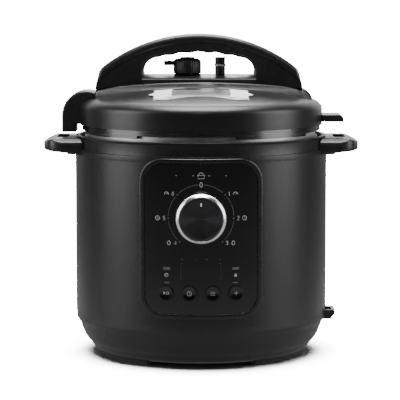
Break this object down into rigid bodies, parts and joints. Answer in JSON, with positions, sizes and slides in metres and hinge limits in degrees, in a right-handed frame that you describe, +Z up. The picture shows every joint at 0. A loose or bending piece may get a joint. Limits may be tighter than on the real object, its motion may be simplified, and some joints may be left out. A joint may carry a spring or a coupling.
{
  "type": "electric pressure cooker",
  "caption": "Round countertop electric pressure cooker with a bayonet lid, arched lid handle, removable pot, rotary selector and push buttons on a curved front panel.",
  "frame": {"origin": "middle of the footprint, on the worktop under the feet", "axes": "+Z up; the control panel faces -Y; +X is to the right for someone facing the panel"},
  "size_m": [0.3396, 0.32, 0.345],
  "materials": {
    "matte_black": "moulded plastic, fine spark texture",
    "foot_rubber": "soft matt rubber",
    "screw_steel": "zinc plated steel",
    "satin_black_steel": "satin black enamel on steel sheet",
    "collar_black": "moulded plastic, satin",
    "pot_aluminium": "spun aluminium, dull",
    "lid_steel": "pressed stainless steel, satin",
    "plate_aluminium": "turned cast aluminium",
    "lead_sleeve": "glass-fibre sleeved lead",
    "switch_cream": "moulded plastic",
    "circuit_green": "solder mask",
    "component_black": "moulded components",
    "bezel_black": "semi-gloss moulded frame",
    "overlay_black": "polished overlay, grey printing",
    "window_dark": "smoked display window",
    "lamp_grey": "frosted lamp window, unlit",
    "pin_brass": "bare brass",
    "cup_smoke": "smoked plastic",
    "knob_chrome": "bright plated, knurled",
    "knob_metal": "dark spun face",
    "button_black": "polished, dished",
    "pot_steel": "brushed stainless steel",
    "seal_silicone": "translucent silicone",
    "lid_gloss": "semi-gloss moulded cover",
    "handle_black": "moulded plastic, semi-matt",
    "handle_cap_satin": "satin moulded shell",
    "label_silver": "plain brushed foil plate",
    "float_chrome": "polished metal"
  },
  "bodies": {
    "housing": {"base_shell": "matte_black", "feet": "foot_rubber", "base_screws": "screw_steel", "housing_sleeve": "satin_black_steel", "collar_ring": "collar_black", "side_handle_left": "matte_black", "side_handle_right": "matte_black", "handle_screws": "screw_steel", "outer_pot": "pot_aluminium", "bayonet_flange": "lid_steel", "heating_plate": "plate_aluminium", "plate_supports": "screw_steel", "heater_leads": "lead_sleeve", "pressure_switch": "switch_cream", "thermal_fuse": "screw_steel", "power_board": "circuit_green", "board_components": "component_black", "control_board": "circuit_green", "selector_encoder": "screw_steel", "button_switches": "component_black", "display_module": "component_black", "panel_bezel": "bezel_black", "panel_overlay": "overlay_black", "display_window": "window_dark", "indicator_lamps": "lamp_grey", "power_inlet": "matte_black", "inlet_pins": "pin_brass", "ladle_holder": "matte_black", "collector_bracket": "matte_black", "sensor_bracket": "screw_steel", "sensor_spring": "screw_steel"},
    "sensor": {"temperature_sensor": "pot_steel"},
    "collector": {"condensation_collector": "cup_smoke"},
    "selector": {"knob_ring": "knob_chrome", "knob_cap": "knob_metal", "knob_shaft": "screw_steel"},
    "key_start_stop": {"button_start_stop": "button_black"},
    "key_temp_time": {"button_temp_time": "button_black"},
    "key_program": {"button_program": "button_black"},
    "key_plus": {"button_plus": "button_black"},
    "cooking_pot": {"inner_pot": "pot_steel"},
    "seal": {"sealing_ring": "seal_silicone"},
    "lid": {"lid_pan": "lid_steel", "lid_cover": "lid_gloss", "ring_rack": "screw_steel", "handle_base": "handle_black", "handle_grip": "handle_black", "handle_cap": "handle_cap_satin", "lid_arm": "handle_black", "lid_fin": "matte_black", "label_plate": "label_silver", "lid_screws": "screw_steel", "vent_pipe": "lid_steel", "vent_shield": "lid_steel"},
    "release_knob": {"steam_release_knob": "handle_black"},
    "release_weight": {"valve_weight": "screw_steel"},
    "float_pin": {"float_valve": "float_chrome", "float_seal": "seal_silicone"}
  },
  "joints": [
    {"name": "pot_lift", "type": "slide", "parent": "housing", "child": "cooking_pot", "axis": [0, 0, 1], "range_m": [0, 0.17]},
    {"name": "lid_lift", "type": "slide", "parent": "cooking_pot", "child": "seal", "axis": [0, 0, 1], "range_m": [0, 0.12]},
    {"name": "lid_turn", "type": "hinge", "parent": "seal", "child": "lid", "pos_m": [0, 0, 0.25], "axis": [0, 0, 1], "range_deg": [0, 30]},
    {"name": "release_turn", "type": "hinge", "parent": "lid", "child": "release_knob", "pos_m": [-0.0148, 0, 0.31], "axis": [0, 0, 1], "range_deg": [0, 60]},
    {"name": "weight_rise", "type": "slide", "parent": "lid", "child": "release_weight", "axis": [0, 0, 1], "range_m": [0, 0.0032]},
    {"name": "float_drop", "type": "slide", "parent": "lid", "child": "float_pin", "axis": [0, 0, 1], "range_m": [-0.006, 0]},
    {"name": "selector_turn", "type": "hinge", "parent": "housing", "child": "selector", "pos_m": [0, -0.15, 0.1617], "axis": [0, -1, 0], "range_deg": [-139, 139]},
    {"name": "start_stop_press", "type": "slide", "parent": "housing", "child": "key_start_stop", "axis": [0.2554, 0.9668, 0], "range_m": [0, 0.001], "stiffness_N_per_m": 700, "springref_m": -0.001},
    {"name": "temp_time_press", "type": "slide", "parent": "housing", "child": "key_temp_time", "axis": [0.0854, 0.9963, 0], "range_m": [0, 0.001], "stiffness_N_per_m": 700, "springref_m": -0.001},
    {"name": "program_press", "type": "slide", "parent": "housing", "child": "key_program", "axis": [-0.0854, 0.9963, 0], "range_m": [0, 0.001], "stiffness_N_per_m": 700, "springref_m": -0.001},
    {"name": "plus_press", "type": "slide", "parent": "housing", "child": "key_plus", "axis": [-0.2554, 0.9668, 0], "range_m": [0, 0.001], "stiffness_N_per_m": 700, "springref_m": -0.001},
    {"name": "sensor_press", "type": "slide", "parent": "housing", "child": "sensor", "axis": [0, 0, 1], "range_m": [-0.003, 0], "stiffness_N_per_m": 600, "springref_m": 0.004, "deforming": ["sensor_spring"]},
    {"name": "collector_slide", "type": "slide", "parent": "housing", "child": "collector", "axis": [0, 1, 0], "range_m": [0, 0.03]}
  ]
}
